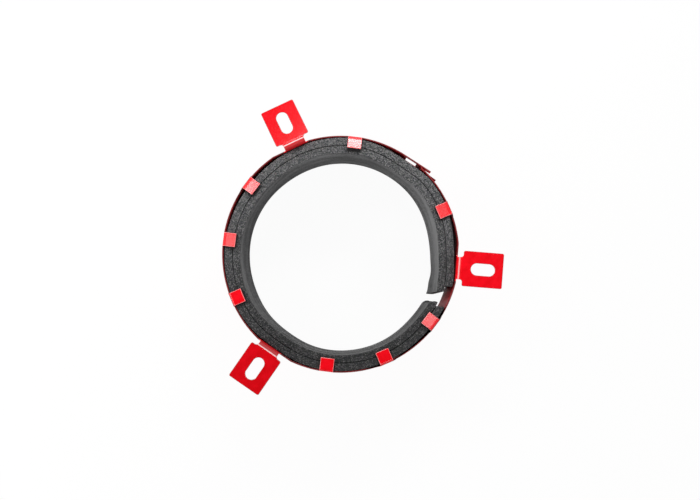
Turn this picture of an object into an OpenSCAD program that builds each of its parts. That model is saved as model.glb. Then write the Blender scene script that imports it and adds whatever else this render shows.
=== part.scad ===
// Pipe fire collar: a folded sheet steel casing wrapped round two intumescent strips.
// Millimetres. Z runs along the pipe, away from the room, and z = 0 is the strip's room side edge.
// The casing is shown wrapped and not yet latched.

/* [Foam] */
// Diameter of the opening left for the pipe
bore_d = 116; // [80:0.5:180]
// Thickness of one intumescent strip
foam_t = 4.5; // [3:0.1:8]
// Clearance between the two intumescent strips
layer_gap = 0.3; // [0.2:0.05:0.8]
// Clearance between the outer strip and the flats of the casing
casing_gap = 0.35; // [0.2:0.05:1]
// Clearance between the foam and the lugs that hold it
lug_gap = 0.3; // [0.2:0.05:0.8]
// Angle at which both strips begin, from the first fixing tab
split_angle = 340.5; // [335:0.5:345]
// Opening between the ends of the inner strip
inner_split = 4.2; // [2:0.1:8]
// Opening between the ends of the outer strip
outer_split = 12.3; // [5:0.1:16]

/* [Casing sheet] */
// Thickness of the sheet
sheet_t = 0.8; // [0.5:0.05:1.2]
// Width of the strip, edge to edge
strip_w = 48; // [44:1:80]
// Stations for lugs, tabs and the closure, evenly spaced round the casing
stations = 12; // [8:4:16]

/* [Lugs] */
// Width of a lug
lug_w = 8; // [5:0.5:10]
// Length of a lug, from the outside of the casing to its tip
lug_len = 8; // [5:0.5:9]
// Inside radius of a lug's bend
lug_bend_r = 0.7; // [0.4:0.1:1.5]
// Flat left on the casing beside a fold, so that the fold line is straight
fold_margin = 0.5; // [0.2:0.1:1.5]
// Angle through which each wall side lug is bent in turn, where 90 is square to the pipe
lug_bends = [82, 70, 71, 76, 77, 90, 90, 78]; // [70:1:90]
// Angle through which every room side lug is bent
room_bend = 90; // [70:1:90]

/* [Fixing tabs] */
// Width of a tab's plate
tab_w = 20.6; // [18:0.2:26]
// Length of a tab's plate
tab_len = 23.4; // [20:0.2:32]
// Radius of the plate's corners
tab_corner_r = 1; // [0.5:0.1:3]
// Width of the neck that joins a plate to the strip
neck_w = 13; // [9:0.5:14]
// Radius of the reliefs on both sides of the neck
relief_r = 1.6; // [1:0.1:2]
// Distance from the outside of the casing to a plate
tab_standoff = 2.8; // [2.4:0.1:4]
// Inside radius of a tab's bend
tab_bend_r = 2.6; // [0.6:0.1:3]
// Angle by which a tab and the flat that it stands on are turned from square to their radius
tab_twist = 2.5; // [0:0.5:4]
// Angle through which each tab is bent in turn, where 90 is square to the pipe
tab_bends = [90, 104, 90]; // [80:1:110]
// Length of the screw slot
slot_len = 14; // [10:0.5:17]
// Width of the screw slot
slot_w = 7; // [5:0.5:9]

/* [Closure] */
// Length of the straight tail at the outer end of the strip
tail_len = 17.5; // [15:0.5:20]
// Length by which the tail lies over the inner end of the strip
tail_overlap = 6; // [4:0.5:8]
// Gap between the tail and the inner end
lap_gap = 0.25; // [0.15:0.05:0.6]
// Length of a window, along the tail
window_len = 6.9; // [5:0.1:8]
// Height of a window
window_h = 15; // [11:0.5:17]
// Distance from the tail's root to its windows
window_setback = 0.8; // [0.5:0.1:2]
// Distance from an edge of the strip to the middle of the window and hook beside it
latch_inset = 10; // [9.5:0.25:12]
// Width of a hook
hook_w = 8; // [5:0.5:10]
// Length of a hook
hook_len = 10; // [7:0.5:12]
// Distance from the inner end of the strip to a hook's root
hook_setback = 1.5; // [1:0.1:3]
// Height of a hook's open mouth
hook_mouth = 1.35; // [1:0.05:2.5]
// Punching clearance round a hook
lance_gap = 0.3; // [0.2:0.05:0.6]

/* [Hidden] */
$fn = 96;
bend_steps = 12;
least_kick = 0.4;

red_paint = [0.84, 0.03, 0.08];
outer_grey = [0.25, 0.25, 0.26];
inner_grey = [0.31, 0.31, 0.32];

// Every fourth station has a fixing tab, the closure takes one and the rest have lugs.
tab_every = 4;
closure_station = 2;
tab_stations = [for (s = [0 : stations - 1]) if (s % tab_every == 0) s];
free_stations = [for (s = [0 : stations - 1]) if (s != closure_station) s];
lug_stations = [for (s = free_stations) if (s % tab_every != 0) s];

// Radii, from the pipe outwards. The flat at a tab lies deepest, and its far corner sets the radius.
inner_r = bore_d / 2;
outer_r = inner_r + foam_t + layer_gap;
foam_r = outer_r + foam_t;
tab_root = neck_w / 2 + relief_r;
lug_flat = lug_w / 2 + fold_margin;
tab_face = foam_r + casing_gap + sheet_t;
tab_shift = tab_face * tan(tab_twist);
casing_r = norm([tab_face, tab_root + fold_margin + tab_shift]);
casing_inner_r = casing_r - sheet_t;
lug_face = sqrt(casing_r * casing_r - lug_flat * lug_flat);

// Heights of the foam, which fills the room between the lugs of both edges.
foam_h = strip_w + 2 * (lug_bend_r - lug_gap);
foam_z = lug_gap - lug_bend_r;

// Places on the closure, in degrees. The windows are centred on their station.
tail_angle = station_angle(closure_station) + arc_angle(window_setback + window_len / 2);
tail_kick = kick(casing_r + lap_gap, tail_len - tail_overlap);
end_angle = tail_angle - atan((tail_len - tail_overlap) / casing_r);
hook_angle = end_angle - arc_angle(hook_setback);
hook_kick = kick(casing_r + hook_mouth, hook_len);
latch_heights = [latch_inset, strip_w - latch_inset];

// Angle of a station, and the angle that a length along the casing spans.
function station_angle(s) = s * 360 / stations;
function arc_angle(length) = length / casing_r * 180 / PI;

// Points along a bend of radius r, from the x axis to the angle given.
function bend_points(r, angle) =
    [for (i = [0 : bend_steps]) r * [cos(i * angle / bend_steps), sin(i * angle / bend_steps)]];

// Outward turn at the root of a straight leg whose inside reaches radius r at the given length.
// A long leg reaches further out with no turn, and keeps the least one, which ties its root into the strip.
function kick(r, length) =
    max(least_kick,
        asin((r * r - casing_inner_r * casing_inner_r - length * length) / (2 * casing_inner_r * length)));

// Wedge of the plane between two angles, used to cut rings open.
module wedge(from, to) {
    reach = 2 * casing_r;
    polygon([[0, 0], reach * [cos(from), sin(from)], reach * [cos(to), sin(to)]]);
}

// Puts what it is given on the flat of a tab, whose outside is then at x = 0.
module on_tab_flat(s) {
    rotate(station_angle(s) + tab_twist)
        translate([tab_face, -tab_shift])
            children();
}

// The same on the flat of a lug.
module on_lug_flat(s) {
    rotate(station_angle(s))
        translate([lug_face, 0])
            children();
}

// Disc with a flat at every fold. A depth of 0 gives the outside of the sheet.
module flatted_disc(depth) {
    r = casing_r - depth;
    difference() {
        circle(r = r);
        for (s = tab_stations)
            on_tab_flat(s)
                translate([-depth, -r])
                    square([r, 2 * r]);
        for (s = lug_stations)
            on_lug_flat(s)
                translate([-depth, -r])
                    square([r, 2 * r]);
    }
}

// Sheet that leaves the rolled strip in a straight line at an angle, seen along the pipe.
module straight_leg(angle, turn, length) {
    rotate(angle)
        translate([casing_inner_r, 0])
            rotate(turn)
                translate([0, -length])
                    square([sheet_t, length]);
}

// Rolled strip with its straight tail, seen along the pipe.
module strip_section() {
    difference() {
        flatted_disc(0);
        flatted_disc(sheet_t);
        wedge(end_angle, tail_angle);
    }
    straight_leg(tail_angle, tail_kick, tail_len);
}

// Windows through the tail, in which the hooks catch.
module windows() {
    for (z = latch_heights)
        rotate(tail_angle)
            translate([casing_inner_r, 0, z])
                rotate(tail_kick)
                    translate([-sheet_t, -window_setback - window_len, -window_h / 2])
                        cube([3 * sheet_t, window_len, window_h]);
}

// Openings from which the hooks are lanced.
module lances() {
    lance_h = hook_w + 2 * lance_gap;
    for (z = latch_heights)
        translate([0, 0, z - lance_h / 2])
            linear_extrude(lance_h)
                wedge(hook_angle - arc_angle(hook_len + lance_gap), hook_angle);
}

// Hooks that stand out of the inner end, with their mouths turned away from it.
module hooks() {
    for (z = latch_heights)
        translate([0, 0, z - hook_w / 2])
            linear_extrude(hook_w)
                straight_leg(hook_angle, hook_kick, hook_len);
}

// Folded sheet seen edge on: a short root, a bend to the left through the angle given, then a flat.
// The root lies along y in the sheet below, with its outside at x = 0, and the bend starts at y = 0.
module fold_section(bend_r, angle, flat) {
    r = bend_r + sheet_t;
    along_flat = flat * [-sin(angle), cos(angle)];
    outside = bend_points(r, angle);
    inside = bend_points(bend_r, angle);
    translate([-r, 0])
        polygon(concat(
            [[r, -sheet_t]],
            outside,
            [outside[bend_steps] + along_flat, inside[bend_steps] + along_flat],
            [for (i = [bend_steps : -1 : 0]) inside[i]],
            [[bend_r, -sheet_t]]));
}

// One lug at the strip's wall side edge, folded inwards through the angle given.
module lug(angle) {
    translate([0, 0, strip_w])
        rotate([90, 0, 0])
            linear_extrude(lug_w, center = true)
                fold_section(lug_bend_r, angle, lug_len - lug_bend_r - sheet_t);
}

// The same lug at the strip's room side edge.
module room_lug() {
    translate([0, 0, strip_w])
        mirror([0, 0, 1])
            lug(room_bend);
}

// Neck outline of half a relief on each side: wide at y = 0 and neck_w wide at y = relief_r.
module relieved_neck() {
    difference() {
        translate([-tab_root, 0])
            square([2 * tab_root, relief_r]);
        for (side = [-1, 1])
            translate([side * tab_root, relief_r])
                circle(r = relief_r);
    }
}

// Plate outline with round corners and a screw slot, starting on the x axis.
// A plate that isn't square to the pipe looks shorter along it, by the share given.
module plate_outline(share) {
    length = share * tab_len;
    straight = share * (slot_len - slot_w);
    difference() {
        union() {
            translate([-tab_w / 2, tab_corner_r])
                square([tab_w, length - 2 * tab_corner_r]);
            translate([-tab_w / 2 + tab_corner_r, 0])
                square([tab_w - 2 * tab_corner_r, length]);
            for (x = [-1, 1], y = [tab_corner_r, length - tab_corner_r])
                translate([x * (tab_w / 2 - tab_corner_r), y])
                    circle(r = tab_corner_r);
        }
        translate([-slot_w / 2, (length - straight) / 2])
            square([slot_w, straight]);
        for (side = [-1, 1])
            translate([0, (length + side * straight) / 2])
                circle(d = slot_w);
    }
}

// Outline of the folded part of a tab, seen along the pipe, with the middle of its bend at y = 0.
module tab_outline(angle) {
    share = sin(angle);
    root = share * (tab_standoff - tab_bend_r) - cos(angle) * (tab_bend_r + sheet_t / 2);
    back = 2 * (tab_bend_r + sheet_t);
    translate([-neck_w / 2, -back])
        square([neck_w, back + root - relief_r / 2]);
    translate([0, root]) {
        mirror([0, 1])
            relieved_neck();
        plate_outline(share);
    }
}

// One fixing tab, folded outwards above the strip's wall side edge through the angle given.
module tab(angle) {
    // Upright part of the neck, with its root in the strip
    translate([-sheet_t, 0, strip_w])
        rotate([90, 0, 90])
            linear_extrude(sheet_t) {
                translate([-neck_w / 2, -sheet_t])
                    square([neck_w, sheet_t]);
                relieved_neck();
            }
    // Bend, flat neck and plate, trimmed from one wide fold
    translate([-sheet_t, 0, strip_w + relief_r])
        intersection() {
            rotate([90, 0, 0])
                linear_extrude(2 * tab_w, center = true)
                    mirror([1, 0])
                        fold_section(tab_bend_r, angle, 2 * tab_len);
            translate([tab_bend_r + sheet_t, 0, 0])
                rotate(-90)
                    linear_extrude(4 * tab_len, center = true)
                        tab_outline(angle);
        }
}

// Rolled and folded steel strip, in one piece.
module casing() {
    color(red_paint) {
        difference() {
            linear_extrude(strip_w)
                strip_section();
            windows();
            lances();
        }
        hooks();
        for (i = [0 : len(lug_stations) - 1])
            on_lug_flat(lug_stations[i]) {
                lug(lug_bends[i % len(lug_bends)]);
                room_lug();
            }
        for (s = tab_stations)
            on_tab_flat(s) {
                tab(tab_bends[s / tab_every % len(tab_bends)]);
                room_lug();
            }
    }
}

// Strip of foam bent into an open ring of inside radius r.
module foam_ring(r, split) {
    opening = split / r * 180 / PI;
    translate([0, 0, foam_z])
        linear_extrude(foam_h)
            difference() {
                circle(r = r + foam_t);
                circle(r = r);
                wedge(split_angle, split_angle + opening);
            }
}

// Intumescent strip against the casing.
module outer_strip() {
    color(outer_grey)
        foam_ring(outer_r, outer_split);
}

// Intumescent strip against the pipe.
module inner_strip() {
    color(inner_grey)
        foam_ring(inner_r, inner_split);
}

casing();
outer_strip();
inner_strip();
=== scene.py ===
# %% [markdown]
# A fire collar goes round a plastic pipe where it passes through a wall. A red steel casing
# holds two strips of a dark foam that swells in a fire and squeezes the melting pipe shut.
# This lesson starts from the exact solids of the collar, keeps their places, and gives each
# piece the edges, the softness and the finish of the real one.

import math

import bmesh
import bpy
from mathutils import Matrix, Vector, noise


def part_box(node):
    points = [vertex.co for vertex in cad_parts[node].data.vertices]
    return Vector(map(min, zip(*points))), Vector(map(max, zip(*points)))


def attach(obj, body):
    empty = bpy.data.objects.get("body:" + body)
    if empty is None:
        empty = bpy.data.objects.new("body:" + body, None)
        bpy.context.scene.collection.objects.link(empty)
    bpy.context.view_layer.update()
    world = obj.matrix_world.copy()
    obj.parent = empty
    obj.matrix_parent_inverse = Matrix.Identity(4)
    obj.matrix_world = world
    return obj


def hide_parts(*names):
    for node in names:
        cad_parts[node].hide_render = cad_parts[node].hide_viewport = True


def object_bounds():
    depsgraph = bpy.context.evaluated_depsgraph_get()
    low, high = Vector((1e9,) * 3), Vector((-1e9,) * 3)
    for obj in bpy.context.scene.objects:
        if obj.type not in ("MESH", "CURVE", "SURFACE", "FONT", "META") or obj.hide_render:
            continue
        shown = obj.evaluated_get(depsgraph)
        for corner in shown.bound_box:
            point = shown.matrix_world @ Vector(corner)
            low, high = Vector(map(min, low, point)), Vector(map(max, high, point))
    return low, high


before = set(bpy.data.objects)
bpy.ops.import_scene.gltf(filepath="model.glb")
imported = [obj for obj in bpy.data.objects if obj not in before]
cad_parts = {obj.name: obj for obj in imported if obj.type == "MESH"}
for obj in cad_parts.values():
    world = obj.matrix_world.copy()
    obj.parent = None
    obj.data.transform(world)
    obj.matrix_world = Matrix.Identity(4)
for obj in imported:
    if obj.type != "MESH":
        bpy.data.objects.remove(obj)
cad_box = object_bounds()
scene = bpy.context.scene
scene.view_settings.view_transform = "Standard"
mm = 0.001
print("solids:", sorted(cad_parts))

# %% [markdown]
# Every finish here is a small network of shader nodes. Linking nodes by hand hides the sum
# that they make, so one class stands for an output socket and lets Python's own operators
# add the Math nodes. Its node method adds any other kind of node, and the short methods after
# it call that one for the kinds that come up again and again. A mark is a number that a mesh
# carries on its faces or points, a cloud is a noise, and blend mixes two colours.

# %% A socket that does sums
mix_first, mix_second, mix_result = 6, 7, 2  # a Mix node's own sockets for colours


def set_stops(ramp, stops):
    """Gives a colour ramp its stops, each a place from 0 to 1 and a grey level."""
    while len(ramp.elements) < len(stops):
        ramp.elements.new(1.0)
    for element, (place, level) in zip(ramp.elements, stops):
        element.position = place
        element.color = (level, level, level, 1.0)


class Wire:
    """An output socket of a shader node, or an empty start on a node tree."""

    def __init__(self, tree, socket=None):
        self.tree = tree
        self.socket = socket

    def node(self, kind, settings=None, inputs=None, output=0):
        """Adds a node of a kind: settings first, then values or wires into its sockets."""
        made = self.tree.nodes.new(kind)
        for name, value in (settings or {}).items():
            if name == "stops":
                set_stops(made.color_ramp, value)
            else:
                setattr(made, name, value)
        for name, value in (inputs or {}).items():
            if isinstance(value, Wire):
                self.tree.links.new(value.socket, made.inputs[name])
            else:
                made.inputs[name].default_value = value
        return Wire(self.tree, made.outputs[output]) if made.outputs else None

    def math(self, operation, first, second):
        return self.node("ShaderNodeMath", {"operation": operation}, {0: first, 1: second})

    def vector(self, operation, inputs, output=0):
        return self.node("ShaderNodeVectorMath", {"operation": operation}, inputs, output)

    def mark(self, name):
        return self.node("ShaderNodeAttribute", {"attribute_name": name}, output="Fac")

    def cloud(self, place, scale, detail):
        sockets = {"Vector": place, "Scale": scale, "Detail": detail}
        return self.node("ShaderNodeTexNoise", None, sockets, "Fac")

    def blend(self, factor, first, second):
        """The first colour where factor is 0, the second where it is 1."""
        sockets = {"Factor": factor, mix_first: first, mix_second: second}
        return self.node("ShaderNodeMix", {"data_type": "RGBA"}, sockets, mix_result)

    def at_least(self, low):
        return self.math("MAXIMUM", self, low)

    def at_most(self, high):
        return self.math("MINIMUM", self, high)

    def __abs__(self):
        return self.math("ABSOLUTE", self, 0.0)

    def __add__(self, other):
        return self.math("ADD", self, other)

    __radd__ = __add__

    def __sub__(self, other):
        return self.math("SUBTRACT", self, other)

    def __rsub__(self, other):
        return self.math("SUBTRACT", other, self)

    def __mul__(self, other):
        return self.math("MULTIPLY", self, other)

    __rmul__ = __mul__


print("sums with a plain number first:", [name for name in vars(Wire) if name.startswith("__r")])

# %% [markdown]
# A finish starts as a material with an empty node tree. Its colours are picked as a screen
# shows them, from 0 to 255, but a shader counts light. So each colour is turned into linear
# light first, by the curve that screens follow.

# %% Start a finish
def start_finish(name):
    """A new material with an empty node tree, and the wire that its nodes start from."""
    material = bpy.data.materials.new(name)
    material.use_nodes = True
    material.node_tree.nodes.clear()
    return material, Wire(material.node_tree)


def paint_colour(red, green, blue):
    """A colour as a screen shows it, turned into the linear light that a shader needs."""
    return tuple(
        c / 12.92 if c <= 0.04045 else ((c + 0.055) / 1.055) ** 2.4
        for c in (red / 255, green / 255, blue / 255)
    ) + (1.0,)


print("a mid grey in linear light:", round(paint_colour(128, 128, 128)[0], 3))

# %% [markdown]
# The casing's sheet is powder coated. The powder melts into a thick skin whose red drifts a
# little, so a noise of a few millimetres mixes two reds. Other differences follow marks that
# the casing's faces will carry. The edge mark puts a painted pale highlight on the rounded
# edges of the lugs. Another mark paints the edges of the band, its hooks and windows and the
# edges of the tabs darker, and puts a weaker painted shade on the inside of the ring. A third
# is painted shade on some of the tabs. A fourth is a painted highlight on the bend of a tab:
# one narrow pale line, where the bend leans in toward the bore by the amount in the mark
# crown. It could be painted as a picture, but the dot product of the normal and the outward
# direction says how far a spot leans, so the line needs no drawing. The colours are laid over
# one another with Mix nodes, like coats of paint.

# %% Colours of the coat
coat_red = paint_colour(246, 8, 28)
coat_deep = paint_colour(216, 0, 12)
edge_highlight_pink = paint_colour(255, 205, 205)
dark_edge_and_shade_red = paint_colour(104, 9, 11)
bend_highlight_pink = paint_colour(255, 228, 228)
drift_scale, drift_detail = 230.0, 4.0
drift_gain, drift_shift = 1.7, 0.35
tab_shade_shift, tab_shade_dim, bend_dim = 0.3, 0.3, 0.9
edge_highlight_least, edge_highlight_drift = 0.15, 0.5
dark_edge_least, dark_edge_drift = 0.7, 0.5
crown_half = 0.14


def bend_highlight_line(start, level, crown):
    """A painted highlight on a bend: 1 where it leans in by crown, fading to 0 on both sides."""
    facing = start.node("ShaderNodeNewGeometry", output="Normal")
    outward = start.vector("NORMALIZE", {0: level})
    lean = start.vector("DOT_PRODUCT", {0: facing, 1: outward}, "Value")
    return (1 - abs(lean + crown) * (1 / crown_half)).at_least(0.0)


def coat_colour(start, place, level):
    """The colour of the coat, with its painted highlights and shade; level is the place without
    height.
    """
    marks = ("edge", "slit", "craze", "crown", "deep")
    edge, slit, craze, crown, deep = (start.mark(name) for name in marks)
    drift = start.cloud(place, drift_scale, drift_detail)
    # Painted shade on some tabs: a shift to the darker red here, and a dimming, most on the bend.
    body = start.blend(drift_gain * drift - drift_shift - tab_shade_shift * deep, coat_deep, coat_red)
    dimmed = 1 - deep * (tab_shade_dim + bend_dim * craze * deep)
    with_tab_shade = start.vector("SCALE", {0: body, "Scale": dimmed})
    # Painted highlight on the rounded edges of the lugs.
    with_edge_highlight = start.blend(edge * (edge_highlight_least + edge_highlight_drift * drift), with_tab_shade, edge_highlight_pink)
    # Darker edges of the band and tabs, and painted shade on the inside of the ring.
    with_dark_edges = start.blend(slit * (dark_edge_least + dark_edge_drift * drift), with_edge_highlight, dark_edge_and_shade_red)
    # Painted highlight: a pale line along the bend of each tab.
    return start.blend(craze * bend_highlight_line(start, level, crown), with_dark_edges, bend_highlight_pink)


print("the red drifts over about", round(1 / drift_scale / mm, 1), "mm")

# %% [markdown]
# The coat is glossy but not quite flat, which painters call orange peel. It is far too low to
# model, so a noise of one or two millimetres gives it as a bump, and the roughness follows it a
# little. The coat is duller on the darkened edges and the shaded inside of the ring, and on the
# bends that carry a painted highlight, more so on the tabs with painted shade. It is dull
# on the folds of some lugs too, where the press has rubbed it: a mark called lug says which,
# and the distance from the collar's axis says where the fold begins.

# %% Red powder coat
coat_ior = 1.5
peel_scale, peel_detail = 620.0, 2.0
peel_strength, peel_rise = 0.06, 0.03 * mm
plain_rough, peel_rough, dark_edge_rough = 0.15, 0.08, 0.35
fold_rough, bend_highlight_rough, tab_shade_rough = 0.4, 0.15, 0.4
fold_from, fold_fade = 67.3 * mm, 0.8 * mm
without_height = (1.0, 1.0, 0.0)


def coat_roughness(start, level, peel):
    """How dull the coat is, from the peel and the marks."""
    slit, craze, deep, lug = (start.mark(name) for name in ("slit", "craze", "deep", "lug"))
    reach = start.vector("LENGTH", {0: level}, "Value")
    fold = ((reach - fold_from) * (1 / fold_fade)).at_least(0.0).at_most(1.0)
    rough = plain_rough + peel_rough * peel + dark_edge_rough * slit + fold_rough * lug * fold
    return rough + craze * (bend_highlight_rough + tab_shade_rough * deep)


def red_powder_coat():
    material, start = start_finish("red_powder_coat")
    place = start.node("ShaderNodeTexCoord", output="Object")
    level = start.vector("MULTIPLY", {0: place, 1: without_height})
    peel = start.cloud(place, peel_scale, peel_detail)
    rise = {"Strength": peel_strength, "Distance": peel_rise, "Height": peel}
    coat = {
        "Base Color": coat_colour(start, place, level),
        "Roughness": coat_roughness(start, level, peel),
        "Normal": start.node("ShaderNodeBump", None, rise),
        "IOR": coat_ior,
    }
    surface = start.node("ShaderNodeBsdfPrincipled", None, coat)
    start.node("ShaderNodeOutputMaterial", None, {"Surface": surface})
    return material


print("the peel is about", round(1 / peel_scale / mm, 1), "mm wide")

# %% [markdown]
# A face of the casing has no name in the mesh. The marks could be painted by hand, but its
# place and the way that it looks tell what a face is, so short tests can sort them all. The
# band of the sheet lies between two levels, with the lugs and the tabs beyond them.

# %% Faces of the band
band_low, band_high = 0.0, 48 * mm
level_gap = 0.05 * mm
slit_up = 0.3
inside_lean = 0.8


def leans_in(face):
    """How much a face looks toward the collar's axis, from -1 to 1."""
    return -face.normal.xy.dot(face.calc_center_median().xy.normalized())


def is_slit(face):
    """True for an edge of the band: one of its long ones, or of a hook or a window."""
    level = face.calc_center_median().z
    return abs(face.normal.z) > slit_up and band_low - level_gap < level < band_high + level_gap


def is_inside(face):
    """True for a face on the inside of the band, which gets a weaker painted shade."""
    return leans_in(face) > inside_lean and band_low < face.calc_center_median().z < band_high


print("the band's height in mm:", (band_high - band_low) / mm)

# %% [markdown]
# Lugs fold in over the foam, and tabs bend out from the ring, so their distance from the
# collar's axis tells them apart, and so do their bearings, in degrees round that axis. Each tab
# has painted light of its own: how strong the painted highlight on its bend is, how far that
# line leans in, and how much painted shade darkens its red.

# %% Faces of the lugs and tabs
lug_rise, lug_reach = 0.2 * mm, 69.6 * mm
crown_rise, crown_from = 1.5 * mm, 66 * mm
crown_least, crown_most, crown_up = 0.05, 0.97, 0.2
tab_from = 71.5 * mm
tab_foot = 4 * mm
tab_spread = 0.25
# Per tab bearing: strength of the painted bend highlight, lean of that line, painted shade.
tab_painted_light = {2.5: (0.6, 0.58, 0.0), 122.5: (1.0, 0.14, 0.32), 242.5: (0.9, 0.2, 0.62)}
no_tab = (0.0, 0.0, 0.0)


def swing(turn, bearing):
    """The angle from a bearing in degrees to a direction, from minus to plus half a turn."""
    return math.remainder(turn - math.radians(bearing), 2 * math.pi)


def away_from(face, bearing):
    """The angle between a face's place on the ring and a bearing in degrees, in radians."""
    middle = face.calc_center_median()
    return abs(swing(math.atan2(middle.y, middle.x), bearing))


def is_lug(face):
    """True for a face of a folded lug, which reaches in over the foam."""
    middle = face.calc_center_median()
    beyond = max(middle.z - band_high, band_low - middle.z)
    beside = min(away_from(face, bearing) for bearing in tab_painted_light)
    return beyond > lug_rise and middle.xy.length < lug_reach and beside > tab_spread


def is_crown(face):
    """True for a face on the bend of a tab, which leans in toward the bore."""
    middle = face.calc_center_median()
    if middle.z < band_high + crown_rise or middle.xy.length < crown_from:
        return False
    return crown_least < leans_in(face) < crown_most and face.normal.z > crown_up


def is_tab(face):
    """True for a face of a fixing tab, outside the ring."""
    return face.calc_center_median().xy.length > tab_from


def painted_light_of_tab(face):
    """The painted highlight and shade of the tab that a face belongs to, or of none."""
    if face.calc_center_median().z > band_high - tab_foot:
        for bearing, coat in tab_painted_light.items():
            if away_from(face, bearing) < tab_spread:
                return coat
    return no_tab


print("tabs at", list(tab_painted_light), "degrees")

# %% [markdown]
# The casing came out of a press with sheared edges, which the coat rounds over. The exact
# solid has dead sharp ones, and a sharp edge never catches the light. A copy of its mesh is
# welded, cleaned of the seams that triangulation left on flat faces, and bevelled by a
# fraction of the sheet's thickness on every edge that turns sharply. A Bevel modifier could do
# the same, but here the new faces are known at once and can be marked.

# %% Round the sharp edges
coat_edge = 0.26 * mm
weld_gap = 0.05 * mm
sharp_turn = math.radians(32)
flat_turn = math.radians(0.6)
casing_marks = ("edge", "slit", "craze", "crown", "deep", "lug")


def rounded_casing(mesh):
    """The mesh with rounded edges, the new faces there, and a place for each mark."""
    form = bmesh.new()
    form.from_mesh(mesh)
    bmesh.ops.remove_doubles(form, verts=form.verts, dist=weld_gap)
    bmesh.ops.dissolve_limit(form, angle_limit=flat_turn, verts=form.verts, edges=form.edges)
    marks = {name: form.faces.layers.float.new(name) for name in casing_marks}
    sharp = [
        edge for edge in form.edges
        if len(edge.link_faces) == 2 and edge.calc_face_angle(0.0) > sharp_turn
    ]
    made = bmesh.ops.bevel(
        form,
        geom=sharp,
        offset=coat_edge,
        offset_type="OFFSET",
        segments=2,
        profile=0.5,
        affect="EDGES",
        clamp_overlap=False,
    )
    return form, made["faces"], marks


casing_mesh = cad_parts["casing"].data.copy()
casing_form, rounded_edges, marks_of_casing = rounded_casing(casing_mesh)
print("faces that round the edges:", len(rounded_edges), "of", len(casing_form.faces))

# %% [markdown]
# Every face now gets its marks, which the coat's nodes read by name. The edges of the band are
# painted darker, and the inside of the ring gets a weaker mark of the same, as painted shade.
# The rounded edges of the tabs are painted darker than their plates, and those of the lugs get
# a painted pale highlight.

# %% Mark the faces
inside_share = 0.55
tab_edge = 0.6
dulled_lugs = (30, 90, 150, 180, 330)


def mark_faces(form, rounded, marks):
    """Marks every face, and then the rounded edges, which differ from the faces beside them."""
    for face in form.faces:
        face.normal_update()
        face.smooth = True
        # Darker edges of the band, and painted shade on the inside of the ring.
        face[marks["slit"]] = 1.0 if is_slit(face) else inside_share if is_inside(face) else 0.0
        dulled = min(away_from(face, bearing) for bearing in dulled_lugs) < tab_spread / 2
        face[marks["lug"]] = 1.0 if dulled and is_lug(face) else 0.0
        # Painted highlight on the bend of each tab, and painted shade on whole tabs.
        highlighted_bend, leaning, shaded_tab = painted_light_of_tab(face)
        face[marks["craze"]] = highlighted_bend if is_crown(face) else 0.0
        face[marks["crown"]] = leaning
        face[marks["deep"]] = shaded_tab
    for face in rounded:
        # Painted highlight on the rounded edges of the lugs; the tabs' edges are painted darker.
        face[marks["edge"]] = 1.0 if is_lug(face) else 0.0
        if is_tab(face):
            face[marks["slit"]] = tab_edge


mark_faces(casing_form, rounded_edges, marks_of_casing)
for name, mark in marks_of_casing.items():
    print("faces with", name, sum(1 for face in casing_form.faces if face[mark] > 0))

# %% [markdown]
# The marked form becomes the casing that is seen, and stands for the exact solid. It is smooth
# shaded, which would make a flat tab look dished beside its rounded edges. A Weighted Normal
# modifier lets the large faces decide the shading, and keeps a flat tab looking flat.

# %% The casing
crease_turn = math.radians(40)


def placed(name, mesh, form):
    """Fills a mesh from a form, and puts an object of it into the scene."""
    form.to_mesh(mesh)
    form.free()
    made = bpy.data.objects.new(name, mesh)
    scene.collection.objects.link(made)
    return made


casing = placed("steel_casing", casing_mesh, casing_form)
casing_mesh.materials.clear()
casing_mesh.materials.append(red_powder_coat())
casing_mesh.set_sharp_from_angle(angle=crease_turn)
even = casing.modifiers.new("even_faces", "WEIGHTED_NORMAL")
even.keep_sharp = True
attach(casing, "root")
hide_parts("casing")
print("casing faces:", len(casing_mesh.polygons))

# %% [markdown]
# The foam is mineral grains bound in rubber. Where it was cut, along its top, its bottom and
# its ends, the broken grains show as a fine speckle of greys with dark pores and a trace of
# colour. A mark paints light on the far side of the collar and shade on the near side, where
# the pale grains also thin out. There are far too many grains to model, so cells of random
# tone stand for them. The faces that were rolled are smoother, scored across and softly
# streaked along the strip, and a mark paints light on the bore on one side. Tall cells are the
# scores, and a stretched noise is the streaks.

# %% Cut foam and rolled foam
pore_grey = paint_colour(36, 36, 37)
grain_grey = paint_colour(132, 132, 133)
skin_dark = paint_colour(54, 54, 55)
skin_pale = paint_colour(156, 156, 157)
grain_width = 0.4 * mm
grain_stops = [(0.1, 0.0), (0.6, 0.3), (0.95, 1.0)]
grain_tint = 0.015
sparse_least, sparse_gain = 1.1, 1.7
score_width, score_stretch = 1.5 * grain_width, (1.0, 1.0, 0.3)
streak_scale, streak_detail = (22.0, 22.0, 80.0), 2.0
streak_gain, streak_shift, score_gain, bore_light_gain = 2.2, 0.95, 0.4, 0.5


def random_cells(start, place, width):
    """Cells of a width, each of a random colour, and the same cells as a random tone."""
    sockets = {"Vector": place, "Scale": 1 / width}
    colour = start.node("ShaderNodeTexVoronoi", None, sockets, "Color")
    return colour, start.node("ShaderNodeSeparateColor", None, {"Color": colour}, "Red")


def cut_foam(start, place, dust):
    """The colour of a cut face, and the tone of its grains."""
    cells, grain = random_cells(start, place, grain_width)
    broken = start.node("ShaderNodeValToRGB", {"stops": grain_stops}, {"Fac": grain})
    # Fewer pale grains toward the near side, part of the painted shade.
    sparse = start.math("POWER", broken, sparse_least + sparse_gain * (1 - dust))
    return start.blend(grain_tint, start.blend(sparse, pore_grey, grain_grey), cells), grain


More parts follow.
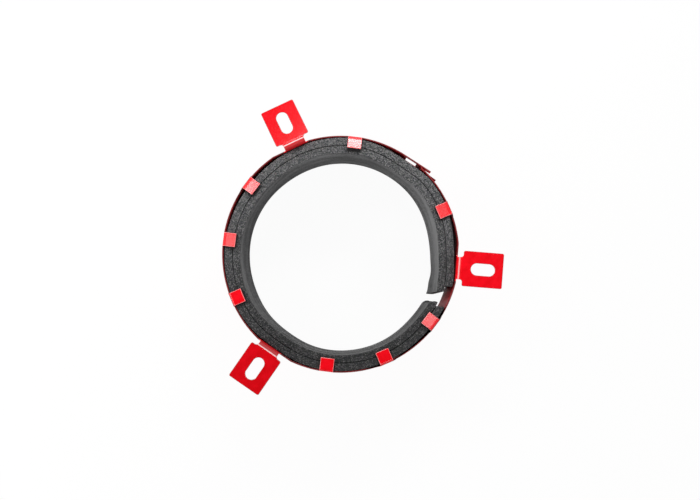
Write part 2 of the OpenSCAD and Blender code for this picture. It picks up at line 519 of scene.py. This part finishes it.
def rolled_foam(start, place, rubbed):
    """The colour of a rolled face."""
    tall = start.node("ShaderNodeMapping", None, {"Vector": place, "Scale": score_stretch})
    score = random_cells(start, tall, score_width)[1]
    along = start.node("ShaderNodeMapping", None, {"Vector": place, "Scale": streak_scale})
    streak = start.cloud(along, 1.0, streak_detail)
    # Painted light on one side of the bore.
    wear = streak_gain * streak - streak_shift + score_gain * score + bore_light_gain * rubbed
    return start.blend(wear, skin_dark, skin_pale)


print("grains to the millimetre:", round(mm / grain_width, 2))

# %% [markdown]
# A mark called skin says where a strip is rolled and where it is cut, and mixes the two. A
# second mark paints the shadow of each lug on the foam beside it. The grains hardly rise, so
# their bump is slight, and foam has no gloss to speak of: it is a little less rough where rolled.

# %% Speckled foam
foam_marks = ("skin", "dust", "pressed", "rubbed")
skin_cover = 0.7
tone_most, tone_far_side, tone_lug_shadow = 0.84, 0.42, 0.8
cut_rough, skin_smooth = 0.95, 0.25
grain_strength, grain_rise = 0.12, 0.1 * mm


def speckled_foam(name, tone):
    material, start = start_finish(name)
    place = start.node("ShaderNodeTexCoord", output="Object")
    skin, dust, pressed, rubbed = (start.mark(mark) for mark in foam_marks)
    cut, grain = cut_foam(start, place, dust)
    mixed = start.blend(skin_cover * skin, cut, rolled_foam(start, place, rubbed))
    # Painted light on the far side, painted shade on the near side, and painted lug shadows.
    shade = tone * (tone_most - tone_far_side * (1 - dust)) * (1 - tone_lug_shadow * pressed)
    rise = {"Strength": grain_strength, "Distance": grain_rise, "Height": grain}
    foam = {
        "Base Color": start.vector("SCALE", {0: mixed, "Scale": shade}),
        "Roughness": cut_rough - skin_smooth * skin,
        "Normal": start.node("ShaderNodeBump", None, rise),
    }
    surface = start.node("ShaderNodeBsdfPrincipled", None, foam)
    start.node("ShaderNodeOutputMaterial", None, {"Surface": surface})
    return material


print("roughness of the foam, cut and rolled:", cut_rough, round(cut_rough - skin_smooth, 2))

# %% [markdown]
# A strip is cut straight and bent round by hand, so it never lies as a true ring: it hugs the
# casing on one side, leaves it in hollows on the other, and its free ends straighten. The exact
# solid gives its thickness, its height and where its ends are. A curve with a bevel shape could
# sweep it, but its ends would be square and its lean the same all round. So the mesh is a
# rounded section, placed in small steps, and each step can follow the lie of the strip.

# %% Where a strip begins and ends
end_facing = 0.99


def strip_facts(node):
    """Inner and outer radius, lowest and highest level, and the angles of the two ends."""
    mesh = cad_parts[node].data
    radii = [v.co.xy.length for v in mesh.vertices]
    low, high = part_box(node)
    ends = []
    for face in mesh.polygons:
        out = Vector((face.center.x, face.center.y, 0.0)).normalized()
        if abs(face.normal.dot(Vector((-out.y, out.x, 0.0)))) > end_facing:
            ends.append(math.atan2(out.y, out.x))
    return {
        "inner": min(radii),
        "outer": max(radii),
        "low": low.z,
        "high": high.z,
        "first": max(ends),
        "last": min(ends) + 2 * math.pi,
    }


facts = {node: strip_facts(node) for node in ("outer_strip", "inner_strip")}
for node, found in facts.items():
    print(node, {key: round(value, 4) for key, value in found.items()})

# %% [markdown]
# The section is drawn as a list of points round a rounded oblong, each with its share of skin:
# one on the two rolled faces, nothing on the cut ones, and part of each on the corners. It goes
# round corner by corner, and after each corner along the straight side that follows it.

# %% Section of a strip
corner_r = 0.55 * mm
corner_steps = 4
face_step = 1.25 * mm
cut_step = 0.42 * mm
corners = ((-1, -1), (1, -1), (1, 1), (-1, 1))
sides = ((1, 0), (0, 1), (-1, 0), (0, -1))


def strip_section(thickness, low, high):
    """Points (across, up, skin) round the section, from its lower inner corner."""
    points = []
    middle = (thickness / 2, (low + high) / 2)
    half = (thickness / 2 - corner_r, (high - low) / 2 - corner_r)
    for turn, ((sx, sz), (dx, dz)) in enumerate(zip(corners, sides)):
        centre = (middle[0] + sx * half[0], middle[1] + sz * half[1])
        for k in range(corner_steps + 1):
            angle = math.pi + (turn + k / corner_steps) * math.pi / 2
            across = centre[0] + corner_r * math.cos(angle)
            up = centre[1] + corner_r * math.sin(angle)
            points.append((across, up, abs(math.cos(angle)) ** 2))
        rolled = dx == 0
        run = 2 * (half[1] if rolled else half[0])
        steps = max(2, round(run / (face_step if rolled else cut_step)))
        across, up, skin = points[-1]
        for k in range(1, steps):
            points.append((across + dx * run * k / steps, up + dz * run * k / steps, skin))
    return points


for node, found in facts.items():
    points = strip_section(found["outer"] - found["inner"], found["low"], found["high"])
    print("points round the section of", node, len(points))

# %% [markdown]
# The lie of both strips is one sum: they hug the inside of the casing, or the flats behind its
# tabs where those stand further in, less a few hollows. Each hollow has a bearing, a depth in
# millimetres and a spread in degrees to either side of it. A strip that is not held along its
# lower edge also leans, so a second list of the same kind shifts that edge. A simulation could
# find some such lie by itself, but a list can be matched to the photograph.

# %% How the strips lie
casing_inside = 68.58 * mm
flat_inside = 67.65 * mm
flat_spread = 0.3
hug = 0.1 * mm
hollows = (
    (7, 2.1, 13, 24),
    (62, 1.75, 11, 19),
    (146, 1.65, 35, 38),
    (242.5, 1.1, 15, 15),
    (325, 0.6, 18, 14),
)
leans = ((208, -1.7, 38, 24), (27, -1.1, 25, 25), (62, 1.6, 11, 19), (150, 0.5, 18, 28))


def ease(x):
    """A soft step: 0 up to 0, 1 from 1 on, and a smooth rise between them."""
    x = min(1.0, max(0.0, x))
    return x * x * (3 - 2 * x)


def swells(turn, listed):
    """The sum of a list of soft swells at an angle."""
    total = 0.0
    for bearing, height, before, after in listed:
        off = math.degrees(swing(turn, bearing))
        total += height * mm * math.exp(-((off / (after if off > 0 else before)) ** 2))
    return total


def lie(turn, rise):
    """How far the strips shift outward from their exact place; rise is 0 below and 1 on top."""
    face = casing_inside - hug - swells(turn, hollows) + (1 - rise) * swells(turn, leans)
    for bearing in tab_painted_light:
        off = swing(turn, bearing)
        if abs(off) < flat_spread:
            face = min(face, flat_inside / math.cos(off) - hug)
    return face - facts["outer_strip"]["outer"]


for quarter in (0, 90, 180, 270):
    print("lie at", quarter, "in mm:", round(lie(math.radians(quarter), 1.0) / mm, 2))

# %% [markdown]
# Each lug bears down on the strips, and gets a painted shadow on the foam on its near side. Its
# footprint is a plain oblong between the lug's tip and the casing, shifted a little toward the
# near side, and it fades out over less than a millimetre. The near side is the camera's, whose
# picture is turned against the collar by a small angle.

# %% Foam under the lugs
camera_turn = math.radians(7.1)
lug_bearings = (30, 90, 150, 180, 210, 270, 300, 330)
lug_half = 4 * mm
lug_tip = 61.3 * mm
shade_shift = 0.75 * mm
shade_fade = 0.8 * mm


def lug_shadow_at(spot):
    """How much painted lug shadow falls on the foam at a spot, from 0 to 1."""
    near_side = Vector((math.sin(camera_turn), -math.cos(camera_turn)))
    place = spot.xy - shade_shift * near_side
    most = 0.0
    for bearing in lug_bearings:
        out = Vector((math.cos(math.radians(bearing)), math.sin(math.radians(bearing))))
        beside = abs(place.cross(out)) - lug_half
        before = lug_tip - place.dot(out)
        most = max(most, ease(1 - max(beside, before, 0.0) / shade_fade))
    return most


print("pressed in the middle of a lug:", lug_shadow_at(Vector((0.0, 65 * mm, band_high))))

# %% [markdown]
# The sweep walks along the strip and places the section at each step. The last steps at each
# end shrink the section, which rounds the corners of the cut. Every point also moves a little
# along its own outward direction, by two sizes of noise, more on the cut faces than on the
# rolled ones, because a saw leaves foam uneven.

# %% Steps and lumps of a strip
end_round = 0.5 * mm
end_turns = (20, 45, 70, 90)
sweep_step = 0.8 * mm
lump_width = 2.2 * mm
lump_rise = 0.02 * mm
small_lump_width, small_lump_share = 0.4, 0.5
skin_calm = 0.6


def stations_along(length):
    """Distances along a strip, each with how far the section shrinks there."""
    rounding = [
        (end_round * (1 - math.sin(turn)), end_round * (1 - math.cos(turn)))
        for turn in map(math.radians, end_turns)
    ]
    steps = round(length / sweep_step)
    between = [(length * k / steps, 0.0) for k in range(1, steps)]
    return rounding[::-1] + between + [(length - x, inset) for x, inset in rounding]


def ring_spot(turn, radius, z):
    """The point at an angle and a distance round the collar's axis, at a height."""
    return Vector((radius * math.cos(turn), radius * math.sin(turn), z))


def lumpy_spot(turn, radius, z, out, skin, seed):
    """A spot on a strip, moved outward or inward by a lump; out is its way out of the section."""
    spot = ring_spot(turn, radius, z)
    small_width = small_lump_width * lump_width
    lump = noise.noise(spot / lump_width + Vector((seed, 0, 0)))
    lump += small_lump_share * noise.noise(spot / small_width + Vector((0, seed, 0)))
    lump *= lump_rise * (1 - skin_calm * skin)
    if abs(out[1]) > abs(out[0]):
        return ring_spot(turn, radius, z + math.copysign(lump, lump * out[1]))
    return ring_spot(turn, radius + math.copysign(lump, lump * out[0]), z)


print("stations along 100 mm:", len(stations_along(100 * mm)))

# %% [markdown]
# Each point of a strip carries the marks that the foam's nodes read. Skin is given only to the
# side of the bore, because a strip's other rolled face is hidden. The painted light is strongest
# on the far side of the collar, only the top gets the painted lug shadows, and a list of swells
# says where the bore gets painted light.

# %% Marks on a strip
top_rise = 0.98
far_side_bearing = 97
far_side_middle, far_side_swing = 0.62, 0.6
bore_light_swells = ((14, 1.4, 34, 30),)


def mark_point(vert, marks, skin, turn, rise):
    vert[marks["skin"]] = skin
    facing = math.cos(swing(turn, far_side_bearing))
    # Painted light toward the far side, painted shade toward the near side.
    vert[marks["dust"]] = ease(far_side_middle + far_side_swing * facing)
    # Painted lug shadows, on the top only.
    vert[marks["pressed"]] = lug_shadow_at(vert.co) if rise > top_rise else 0.0
    # Painted light on the bore.
    vert[marks["rubbed"]] = swells(turn, bore_light_swells) / mm


print("rubbed most at", max(bore_light_swells, key=lambda rub: rub[1])[0], "degrees")

# %% [markdown]
# A cut made by hand is not square, so each end has a rule for how much longer the strip is at
# any point of its section, and the rule fades out along the strip. A second kind of rule springs
# a free end outward or inward. The rings of points are then joined by faces, and both ends are
# closed. The strip rides with the casing and stands for its exact solid.

# %% Bend a strip round
end_fade = 9 * mm
skin_inset = 0.3 * end_round


def join_rings(form, rings):
    """Faces between each ring of points and the next, and one over each end."""
    count = len(rings[0])
    for one, two in zip(rings, rings[1:]):
        for k in range(count):
            n = (k + 1) % count
            form.faces.new((one[k], one[n], two[n], two[k]))
    form.faces.new(rings[0][::-1])
    form.faces.new(rings[-1])
    bmesh.ops.recalc_face_normals(form, faces=form.faces)
    for face in form.faces:
        face.smooth = True


def bent_strip(name, node, first_cut, last_cut, spring, finish, seed):
    """A foam strip swept along its arc; the cuts lengthen its ends and spring bends them."""
    found = facts[node]
    low, high = found["low"], found["high"]
    thickness = found["outer"] - found["inner"]
    reach = (found["inner"] + found["outer"]) / 2
    length = (found["last"] - found["first"]) * reach
    middle = (thickness / 2, (low + high) / 2)
    half = (thickness / 2, (high - low) / 2)
    section = strip_section(thickness, low, high)
    form = bmesh.new()
    marks = {mark: form.verts.layers.float.new(mark) for mark in foam_marks}
    rings = []
    for x, inset in stations_along(length):
        ring = []
        for across, up, skin in section:
            s = middle[0] + (across - middle[0]) * (1 - inset / half[0])
            z = middle[1] + (up - middle[1]) * (1 - inset / half[1])
            inward = 1 - s / thickness
            rise = (z - low) / (2 * half[1])
            along = x - first_cut(inward, rise) * math.exp(-x / end_fade)
            along += last_cut(inward, rise) * math.exp((x - length) / end_fade)
            turn = found["first"] + along / reach
            radius = found["inner"] + s + lie(turn, rise) + spring(along, rise)
            out = ((s - middle[0]) / half[0], (z - middle[1]) / half[1])
            vert = form.verts.new(lumpy_spot(turn, radius, z, out, skin, seed))
            on_bore = s < middle[0] and inset < skin_inset
            mark_point(vert, marks, skin ** 3 if on_bore else 0.0, turn, rise)
            ring.append(vert)
        rings.append(ring)
    join_rings(form, rings)
    strip = placed(name, bpy.data.meshes.new(name), form)
    strip.data.materials.append(finish)
    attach(strip, "root")
    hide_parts(node)
    return strip


print("the cuts fade out over about", end_fade / mm, "mm")

# %% [markdown]
# The outer strip ends in two nearly square cuts. The inner strip's first end was cut aslant and
# has straightened past the end of the other strip, with its lower edge hanging back toward the
# bore. The inner corner of its last end was rounded off with a knife.

# %% The two strips
strip_thickness = 4.5 * mm
nose_r = 4 * mm
spring_out, spring_run = 1.3 * mm, 8 * mm
hang_in, hang_run = 1.6 * mm, 16 * mm


def straight_cut(outside, inside, below=0.0):
    """A rule for an end, in mm: its length at the outside, and more at the bore and below."""
    return lambda inward, rise: (outside + inside * inward + below * (1 - rise)) * mm


def nose_cut(inward, rise):
    """The nose: a quarter round that takes the inner corner back by its radius."""
    side = max(0.0, 1 - (1 - inward) * strip_thickness / nose_r)
    return -nose_r * (1 - math.sqrt(1 - side * side))


def no_spring(from_first, rise):
    return 0.0


def free_spring(from_first, rise):
    """The first end straightens outward at the top, and hangs inward at the bottom."""
    out = spring_out * (1 - ease(from_first / spring_run))
    return out - hang_in * (1 - rise) * (1 - ease(from_first / hang_run))


outer_foam = bent_strip(
    "outer_foam", "outer_strip", straight_cut(1.25, 1.2), straight_cut(-0.8, -1.6), no_spring,
    speckled_foam("outer_foam_speckle", 1.0), 3.0,
)
inner_foam = bent_strip(
    "inner_foam", "inner_strip", straight_cut(-2.5, 1.6, 2.2), nose_cut, free_spring,
    speckled_foam("inner_foam_speckle", 0.96), 11.0,
)
for strip in (outer_foam, inner_foam):
    print(strip.name, len(strip.data.vertices), "points")

# %% [markdown]
# The collar lies on a white table. The camera and any mirror-like surface see the table almost
# as a white light, so it stays white right up to the edge of the picture, and the rest of its
# shading keeps a faint shadow under the collar. Every other ray meets plain white paint.

# %% The white table
table_size = 3.0
table_gap = 0.02 * mm
table_paint = (0.86, 0.86, 0.86, 1.0)
plain_white = (1.0, 1.0, 1.0, 1.0)
seen_white = 0.95
mirrored_white = 0.15


def white_paint():
    material, start = start_finish("white_paint")
    rays = ("Is Camera Ray", "Is Glossy Ray", "Is Transmission Ray")
    camera, glossy, clear = (start.node("ShaderNodeLightPath", output=ray) for ray in rays)
    paint = start.node("ShaderNodeBsdfDiffuse", None, {"Color": table_paint})
    glow = start.node("ShaderNodeEmission", None, {"Color": plain_white, "Strength": 1.0})
    share = seen_white * camera + mirrored_white * (glossy + clear)
    seen = start.node("ShaderNodeMixShader", None, {0: share, 1: paint, 2: glow})
    start.node("ShaderNodeOutputMaterial", None, {"Surface": seen})
    return material


def white_table():
    form = bmesh.new()
    bmesh.ops.create_grid(form, x_segments=1, y_segments=1, size=table_size / 2)
    table = placed("white_table", bpy.data.meshes.new("white_table"), form)
    table.location.z = cad_box[0].z - table_gap
    table.data.materials.append(white_paint())
    return table


table = white_table()
print("table level in mm:", round(table.location.z / mm, 2))

# %% [markdown]
# The light is that of a small product table: a soft box close by on the far side, weaker ones
# at the upper left, at the near side and low on the left, and four small white cards. Each is
# placed where a bend or a lug of the casing mirrors it toward the camera. A panel's radiance is
# set, not its power, so it may change its size and keep its reflection as bright.

# %% Soft boxes and cards
rim_centre = Vector((0.0, 0.0, band_high))
panel_reach = 0.45
panel_list = (  # name, bearing in the picture, tilt from overhead, width, height, radiance
    ("far_box", 79, 56, 0.22, 0.08, 24.5),
    ("upper_left_box", 148, 53, 0.13, 0.08, 14.0),
    ("near_box", 296, 46, 0.18, 0.08, 6.0),
    ("low_box", 200, 76, 0.36, 0.14, 4.5),
    ("left_card", 172, 41, 0.09, 0.08, 4.5),
    ("right_card", 27, 31, 0.09, 0.09, 2.4),
    ("near_card", 326, 36, 0.08, 0.08, 6.5),
    ("far_card", 106, 37.5, 0.07, 0.05, 15.0),
)


def soft_box(name, bearing, tilt, width, height, radiance):
    """A panel that faces the collar from a bearing and a tilt, both in degrees."""
    turn = math.radians(bearing) + camera_turn
    lean = math.radians(tilt)
    toward = ring_spot(turn, math.sin(lean), math.cos(lean))
    data = bpy.data.lights.new(name, "AREA")
    data.shape = "RECTANGLE"
    data.size = width
    data.size_y = height
    data.energy = radiance * math.pi * width * height
    panel = bpy.data.objects.new(name, data)
    scene.collection.objects.link(panel)
    panel.location = rim_centre + panel_reach * toward
    panel.rotation_mode = "QUATERNION"
    panel.rotation_quaternion = (-toward).to_track_quat("-Z", "Y")
    panel.visible_camera = False
    return panel


panels = [soft_box(*row) for row in panel_list]
print("panels:", {panel.name: round(panel.data.energy, 2) for panel in panels}, "W")

# %% [markdown]
# The room's walls are pale and its ceiling is dark, so that faces which look straight up keep
# their own red. A picture of a real room could light the scene, but this lesson needs only two
# tones: the world shader takes the height of a direction, from its Z, and a ramp turns it into
# light. The camera itself sees plain white past the table.

# %% The room
wall_light, wall_top = 0.8, 0.5
ceiling_light, ceiling_from = 0.06, 0.76


def pale_room():
    world = bpy.data.worlds.new("pale_room")
    scene.world = world
    world.use_nodes = True
    world.node_tree.nodes.clear()
    start = Wire(world.node_tree)
    camera_ray = start.node("ShaderNodeLightPath", output="Is Camera Ray")
    toward = start.node("ShaderNodeTexCoord", output="Generated")
    height = start.node("ShaderNodeSeparateXYZ", None, {"Vector": toward}, "Z")
    stops = [(wall_top, wall_light), (ceiling_from, ceiling_light)]
    level = start.node("ShaderNodeValToRGB", {"stops": stops}, {"Fac": height})
    light = {"Color": plain_white, "Strength": camera_ray + (1 - camera_ray) * level}
    room = start.node("ShaderNodeBackground", None, light)
    start.node("ShaderNodeOutputWorld", None, {"Surface": room})
    return world


print("world:", pale_room().name)

# %% [markdown]
# The photograph was taken from straight above with a longish lens, so the far edge of the bore
# shows only a little inside the near one. The camera hangs over a point a little below the
# middle of the picture and is turned by the angle that the collar was laid at.

# %% Camera
camera_place = Vector((2.87, -22.47, 637.9)) * mm
camera_aim = Vector((5.06, 2.77, 48.0)) * mm
camera_lens = 51.9
camera_sensor = 36.0


def hang_camera():
    data = bpy.data.cameras.new("camera")
    data.lens = camera_lens
    data.sensor_width = camera_sensor
    camera = bpy.data.objects.new("camera", data)
    scene.collection.objects.link(camera)
    back = (camera_place - camera_aim).normalized()
    up = Vector((-math.sin(camera_turn), math.cos(camera_turn), 0.0))
    right = up.cross(back).normalized()
    up = back.cross(right)
    turn = Matrix((right, up, back)).transposed().to_4x4()
    camera.matrix_world = Matrix.Translation(camera_place) @ turn
    scene.camera = camera
    return camera


camera = hang_camera()
print("camera height in mm:", round(camera.location.z / mm, 1))

# %% [markdown]
# The dressed collar keeps the size of the exact one.
